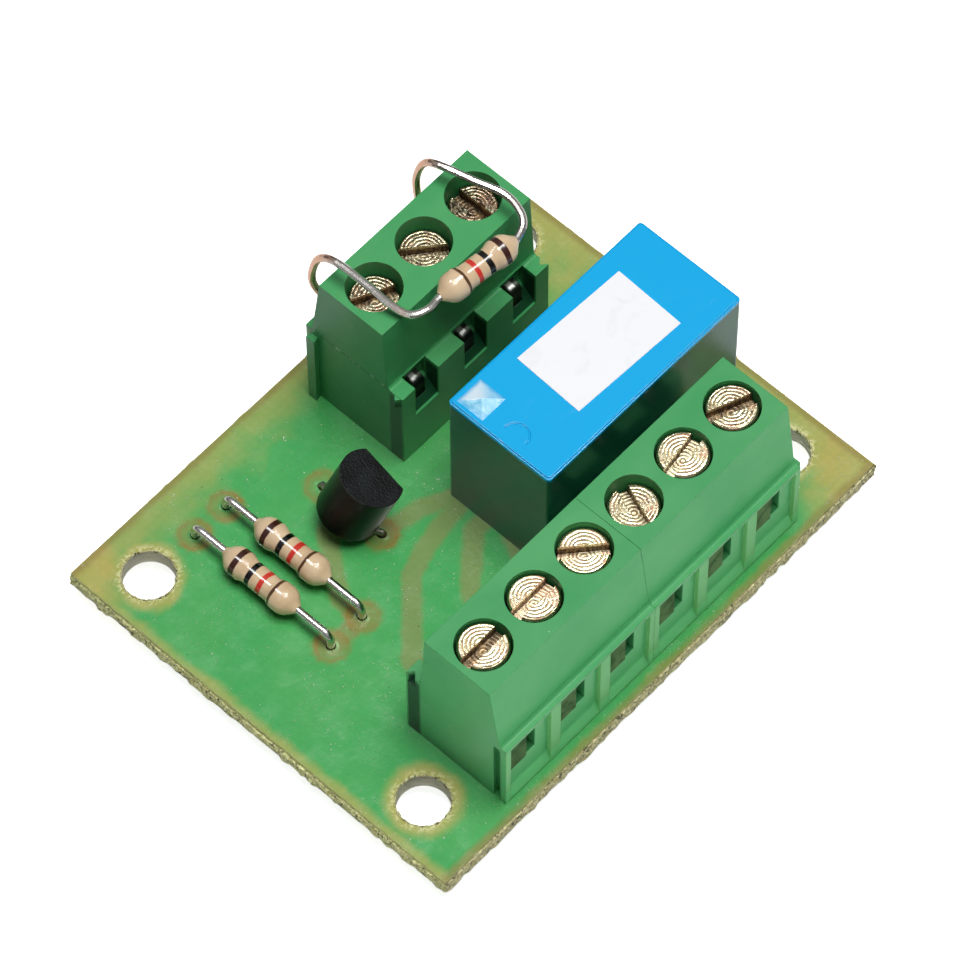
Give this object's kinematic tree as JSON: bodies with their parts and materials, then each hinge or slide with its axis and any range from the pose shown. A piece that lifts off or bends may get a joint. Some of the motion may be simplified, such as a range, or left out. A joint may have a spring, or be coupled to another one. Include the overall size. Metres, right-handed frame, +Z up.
{
  "type": "relay module board",
  "caption": "Circuit board with a blue box relay, green screw terminal blocks on both sides, driver transistor, axial resistors and a further resistor clamped in the input terminals.",
  "frame": {"origin": "under the centre of the board, at the tips of the terminal pins", "axes": "+X along the row of output terminals, +Y from the output terminals to the input terminals, +Z up from the board"},
  "size_m": [0.045, 0.036, 0.0207],
  "materials": {
    "laminate": "glossy",
    "copper": "satin",
    "solder": "satin",
    "housing_green": "satin",
    "tinned_contact": "satin",
    "cage_metal": "satin",
    "screw_metal": "turned",
    "relay_blue": "glossy",
    "black_plastic": "satin",
    "lead_wire": "satin",
    "label_white": "matt",
    "resistor_coat": "satin"
  },
  "bodies": {
    "board": {"circuit_board": "laminate", "copper_tracks": "copper", "solder_joints": "solder", "output_housing_left": "housing_green", "output_housing_right": "housing_green", "input_housing": "housing_green", "output_contact_1": "tinned_contact", "output_contact_2": "tinned_contact", "output_contact_3": "tinned_contact", "output_contact_4": "tinned_contact", "output_contact_5": "tinned_contact", "output_contact_6": "tinned_contact", "input_contact_1": "tinned_contact", "input_contact_2": "tinned_contact", "input_contact_3": "tinned_contact", "relay_case": "relay_blue", "relay_base": "black_plastic", "transistor_body": "black_plastic", "diode_body": "black_plastic", "relay_pins": "lead_wire", "transistor_leads": "lead_wire", "resistor_1_leads": "lead_wire", "resistor_2_leads": "lead_wire", "resistor_3_leads": "lead_wire", "diode_leads": "lead_wire", "relay_label": "label_white", "resistor_1_body": "resistor_coat", "resistor_2_body": "resistor_coat", "resistor_3_body": "resistor_coat"},
    "output_screw_1_body": {"output_screw_1": "screw_metal"},
    "output_cage_1_body": {"output_cage_1": "cage_metal"},
    "output_screw_2_body": {"output_screw_2": "screw_metal"},
    "output_cage_2_body": {"output_cage_2": "cage_metal"},
    "output_screw_3_body": {"output_screw_3": "screw_metal"},
    "output_cage_3_body": {"output_cage_3": "cage_metal"},
    "output_screw_4_body": {"output_screw_4": "screw_metal"},
    "output_cage_4_body": {"output_cage_4": "cage_metal"},
    "output_screw_5_body": {"output_screw_5": "screw_metal"},
    "output_cage_5_body": {"output_cage_5": "cage_metal"},
    "output_screw_6_body": {"output_screw_6": "screw_metal"},
    "output_cage_6_body": {"output_cage_6": "cage_metal"},
    "input_screw_1_body": {"input_screw_1": "screw_metal"},
    "input_cage_1_body": {"input_cage_1": "cage_metal"},
    "input_screw_2_body": {"input_screw_2": "screw_metal"},
    "input_cage_2_body": {"input_cage_2": "cage_metal"},
    "input_screw_3_body": {"input_screw_3": "screw_metal"},
    "input_cage_3_body": {"input_cage_3": "cage_metal"}
  },
  "joints": [
    {"name": "output_screw_1_turn", "type": "hinge", "parent": "board", "child": "output_screw_1_body", "pos_m": [-0.0127, -0.0126, 0.015], "axis": [0, 0, -1], "range_deg": [0, 2160]},
    {"name": "output_cage_1_rise", "type": "slide", "parent": "board", "child": "output_cage_1_body", "axis": [0, 0, 1], "range_m": [0, 0.003]},
    {"name": "output_screw_2_turn", "type": "hinge", "parent": "board", "child": "output_screw_2_body", "pos_m": [-0.00762, -0.0126, 0.015], "axis": [0, 0, -1], "range_deg": [0, 2160]},
    {"name": "output_cage_2_rise", "type": "slide", "parent": "board", "child": "output_cage_2_body", "axis": [0, 0, 1], "range_m": [0, 0.003]},
    {"name": "output_screw_3_turn", "type": "hinge", "parent": "board", "child": "output_screw_3_body", "pos_m": [-0.00254, -0.0126, 0.015], "axis": [0, 0, -1], "range_deg": [0, 2160]},
    {"name": "output_cage_3_rise", "type": "slide", "parent": "board", "child": "output_cage_3_body", "axis": [0, 0, 1], "range_m": [0, 0.003]},
    {"name": "output_screw_4_turn", "type": "hinge", "parent": "board", "child": "output_screw_4_body", "pos_m": [0.00254, -0.0126, 0.015], "axis": [0, 0, -1], "range_deg": [0, 2160]},
    {"name": "output_cage_4_rise", "type": "slide", "parent": "board", "child": "output_cage_4_body", "axis": [0, 0, 1], "range_m": [0, 0.003]},
    {"name": "output_screw_5_turn", "type": "hinge", "parent": "board", "child": "output_screw_5_body", "pos_m": [0.00762, -0.0126, 0.015], "axis": [0, 0, -1], "range_deg": [0, 2160]},
    {"name": "output_cage_5_rise", "type": "slide", "parent": "board", "child": "output_cage_5_body", "axis": [0, 0, 1], "range_m": [0, 0.003]},
    {"name": "output_screw_6_turn", "type": "hinge", "parent": "board", "child": "output_screw_6_body", "pos_m": [0.0127, -0.0126, 0.015], "axis": [0, 0, -1], "range_deg": [0, 2160]},
    {"name": "output_cage_6_rise", "type": "slide", "parent": "board", "child": "output_cage_6_body", "axis": [0, 0, 1], "range_m": [0, 0.003]},
    {"name": "input_screw_1_turn", "type": "hinge", "parent": "board", "child": "input_screw_1_body", "pos_m": [0.00254, 0.0117, 0.015], "axis": [0, 0, -1], "range_deg": [-1692, 0]},
    {"name": "input_cage_1_rise", "type": "slide", "parent": "board", "child": "input_cage_1_body", "axis": [0, 0, 1], "range_m": [-0.00235, 0]},
    {"name": "input_screw_2_turn", "type": "hinge", "parent": "board", "child": "input_screw_2_body", "pos_m": [0.00762, 0.0117, 0.015], "axis": [0, 0, -1], "range_deg": [-1692, 468]},
    {"name": "input_cage_2_rise", "type": "slide", "parent": "board", "child": "input_cage_2_body", "axis": [0, 0, 1], "range_m": [-0.00235, 0.00065]},
    {"name": "input_screw_3_turn", "type": "hinge", "parent": "board", "child": "input_screw_3_body", "pos_m": [0.0127, 0.0117, 0.015], "axis": [0, 0, -1], "range_deg": [-1692, 0]},
    {"name": "input_cage_3_rise", "type": "slide", "parent": "board", "child": "input_cage_3_body", "axis": [0, 0, 1], "range_m": [-0.00235, 0]}
  ],
  "couplings": [
    {"joint": "output_screw_1_turn", "follows": "output_cage_1_rise", "rad_per_m": 12566},
    {"joint": "output_screw_2_turn", "follows": "output_cage_2_rise", "rad_per_m": 12566},
    {"joint": "output_screw_3_turn", "follows": "output_cage_3_rise", "rad_per_m": 12566},
    {"joint": "output_screw_4_turn", "follows": "output_cage_4_rise", "rad_per_m": 12566},
    {"joint": "output_screw_5_turn", "follows": "output_cage_5_rise", "rad_per_m": 12566},
    {"joint": "output_screw_6_turn", "follows": "output_cage_6_rise", "rad_per_m": 12566},
    {"joint": "input_screw_1_turn", "follows": "input_cage_1_rise", "rad_per_m": 12566},
    {"joint": "input_screw_2_turn", "follows": "input_cage_2_rise", "rad_per_m": 12566},
    {"joint": "input_screw_3_turn", "follows": "input_cage_3_rise", "rad_per_m": 12566}
  ]
}
